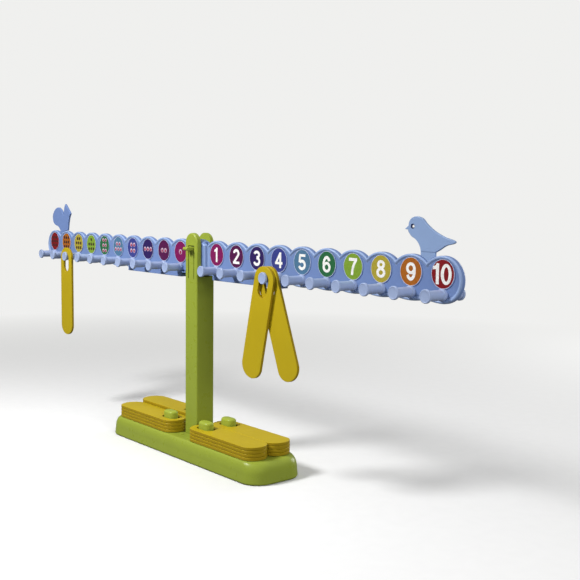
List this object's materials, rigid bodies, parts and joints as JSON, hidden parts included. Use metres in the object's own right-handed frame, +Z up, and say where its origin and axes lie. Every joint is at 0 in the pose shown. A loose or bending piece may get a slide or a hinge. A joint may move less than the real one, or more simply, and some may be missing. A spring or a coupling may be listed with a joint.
{
  "type": "number balance",
  "caption": "Table-top number balance: a scalloped beam with rows of headed pegs rocks in a snap-open fork on a post, with slotted weights hung from it and stored on the base.",
  "frame": {"origin": "on the table, under the middle of the base", "axes": "+Z up, +X along the beam towards the bird, -Y towards the side with the latch"},
  "size_m": [0.5924, 0.055, 0.2212],
  "materials": {
    "green_plastic": "semi-gloss lime green moulding",
    "blue_plastic": "semi-gloss light blue moulding",
    "yellow_plastic": "semi-gloss mustard yellow moulding",
    "pin_steel": "plain drawn steel"
  },
  "bodies": {
    "stand": {"base_shell": "green_plastic", "post": "green_plastic", "storage_post_left_front": "green_plastic", "storage_post_left_back": "green_plastic", "storage_post_right_front": "green_plastic", "storage_post_right_back": "green_plastic"},
    "latch": {"latch_tongue": "green_plastic"},
    "beam": {"centre_yoke": "blue_plastic", "pivot_pin": "pin_steel", "left_arm": "blue_plastic", "right_arm": "blue_plastic", "peg_left_1": "blue_plastic", "peg_left_2": "blue_plastic", "peg_left_3": "blue_plastic", "peg_left_4": "blue_plastic", "peg_left_5": "blue_plastic", "peg_left_6": "blue_plastic", "peg_left_7": "blue_plastic", "peg_left_8": "blue_plastic", "peg_left_9": "blue_plastic", "peg_left_10": "blue_plastic", "peg_right_1": "blue_plastic", "peg_right_2": "blue_plastic", "peg_right_3": "blue_plastic", "peg_right_4": "blue_plastic", "peg_right_5": "blue_plastic", "peg_right_6": "blue_plastic", "peg_right_7": "blue_plastic", "peg_right_8": "blue_plastic", "peg_right_9": "blue_plastic", "peg_right_10": "blue_plastic", "bird_topper": "blue_plastic", "squirrel_topper": "blue_plastic"},
    "hung_left": {"weight_hung_left": "yellow_plastic"},
    "hung_right_front": {"weight_hung_right_front": "yellow_plastic"},
    "hung_right_back": {"weight_hung_right_back": "yellow_plastic"},
    "stored_left_front_1": {"weight_left_front_1": "yellow_plastic"},
    "stored_left_front_2": {"weight_left_front_2": "yellow_plastic"},
    "stored_left_front_3": {"weight_left_front_3": "yellow_plastic"},
    "stored_left_front_4": {"weight_left_front_4": "yellow_plastic"},
    "stored_left_back_1": {"weight_left_back_1": "yellow_plastic"},
    "stored_left_back_2": {"weight_left_back_2": "yellow_plastic"},
    "stored_left_back_3": {"weight_left_back_3": "yellow_plastic"},
    "stored_left_back_4": {"weight_left_back_4": "yellow_plastic"},
    "stored_left_back_5": {"weight_left_back_5": "yellow_plastic"},
    "stored_right_front_1": {"weight_right_front_1": "yellow_plastic"},
    "stored_right_front_2": {"weight_right_front_2": "yellow_plastic"},
    "stored_right_front_3": {"weight_right_front_3": "yellow_plastic"},
    "stored_right_front_4": {"weight_right_front_4": "yellow_plastic"},
    "stored_right_back_1": {"weight_right_back_1": "yellow_plastic"},
    "stored_right_back_2": {"weight_right_back_2": "yellow_plastic"},
    "stored_right_back_3": {"weight_right_back_3": "yellow_plastic"},
    "stored_right_back_4": {"weight_right_back_4": "yellow_plastic"}
  },
  "joints": [
    {"name": "latch_flex", "type": "hinge", "parent": "stand", "child": "latch", "pos_m": [0, -0.00775, 0.1582], "axis": [1, 0, 0], "range_deg": [0, 8], "stiffness_Nm_per_rad": 0.05},
    {"name": "beam_rock", "type": "hinge", "parent": "stand", "child": "beam", "pos_m": [0, 0, 0.18], "axis": [0, 1, 0], "range_deg": [-9, 9]},
    {"name": "hang_left", "type": "hinge", "parent": "beam", "child": "hung_left", "pos_m": [-0.224, 0, 0.1663], "axis": [0, 1, 0], "range_deg": [-45, 45]},
    {"name": "hang_right_front", "type": "hinge", "parent": "beam", "child": "hung_right_front", "pos_m": [0.112, 0, 0.1663], "axis": [0, 1, 0], "range_deg": [-57.5, 32.5]},
    {"name": "hang_right_back", "type": "hinge", "parent": "beam", "child": "hung_right_back", "pos_m": [0.112, 0, 0.1663], "axis": [0, 1, 0], "range_deg": [-24, 66]},
    {"name": "lift_left_front_1", "type": "slide", "parent": "stand", "child": "stored_left_front_1", "axis": [0, 0, 1], "range_m": [0, 0.0181]},
    {"name": "lift_left_front_2", "type": "slide", "parent": "stored_left_front_1", "child": "stored_left_front_2", "axis": [0, 0, 1], "range_m": [0, 0.0153]},
    {"name": "lift_left_front_3", "type": "slide", "parent": "stored_left_front_2", "child": "stored_left_front_3", "axis": [0, 0, 1], "range_m": [0, 0.0125]},
    {"name": "lift_left_front_4", "type": "slide", "parent": "stored_left_front_3", "child": "stored_left_front_4", "axis": [0, 0, 1], "range_m": [0, 0.0097]},
    {"name": "lift_left_back_1", "type": "slide", "parent": "stand", "child": "stored_left_back_1", "axis": [0, 0, 1], "range_m": [0, 0.0181]},
    {"name": "lift_left_back_2", "type": "slide", "parent": "stored_left_back_1", "child": "stored_left_back_2", "axis": [0, 0, 1], "range_m": [0, 0.0153]},
    {"name": "lift_left_back_3", "type": "slide", "parent": "stored_left_back_2", "child": "stored_left_back_3", "axis": [0, 0, 1], "range_m": [0, 0.0125]},
    {"name": "lift_left_back_4", "type": "slide", "parent": "stored_left_back_3", "child": "stored_left_back_4", "axis": [0, 0, 1], "range_m": [0, 0.0097]},
    {"name": "lift_left_back_5", "type": "slide", "parent": "stored_left_back_4", "child": "stored_left_back_5", "axis": [0, 0, 1], "range_m": [0, 0.0069]},
    {"name": "lift_right_front_1", "type": "slide", "parent": "stand", "child": "stored_right_front_1", "axis": [0, 0, 1], "range_m": [0, 0.0181]},
    {"name": "lift_right_front_2", "type": "slide", "parent": "stored_right_front_1", "child": "stored_right_front_2", "axis": [0, 0, 1], "range_m": [0, 0.0153]},
    {"name": "lift_right_front_3", "type": "slide", "parent": "stored_right_front_2", "child": "stored_right_front_3", "axis": [0, 0, 1], "range_m": [0, 0.0125]},
    {"name": "lift_right_front_4", "type": "slide", "parent": "stored_right_front_3", "child": "stored_right_front_4", "axis": [0, 0, 1], "range_m": [0, 0.0097]},
    {"name": "lift_right_back_1", "type": "slide", "parent": "stand", "child": "stored_right_back_1", "axis": [0, 0, 1], "range_m": [0, 0.0181]},
    {"name": "lift_right_back_2", "type": "slide", "parent": "stored_right_back_1", "child": "stored_right_back_2", "axis": [0, 0, 1], "range_m": [0, 0.0153]},
    {"name": "lift_right_back_3", "type": "slide", "parent": "stored_right_back_2", "child": "stored_right_back_3", "axis": [0, 0, 1], "range_m": [0, 0.0125]},
    {"name": "lift_right_back_4", "type": "slide", "parent": "stored_right_back_3", "child": "stored_right_back_4", "axis": [0, 0, 1], "range_m": [0, 0.0097]}
  ]
}
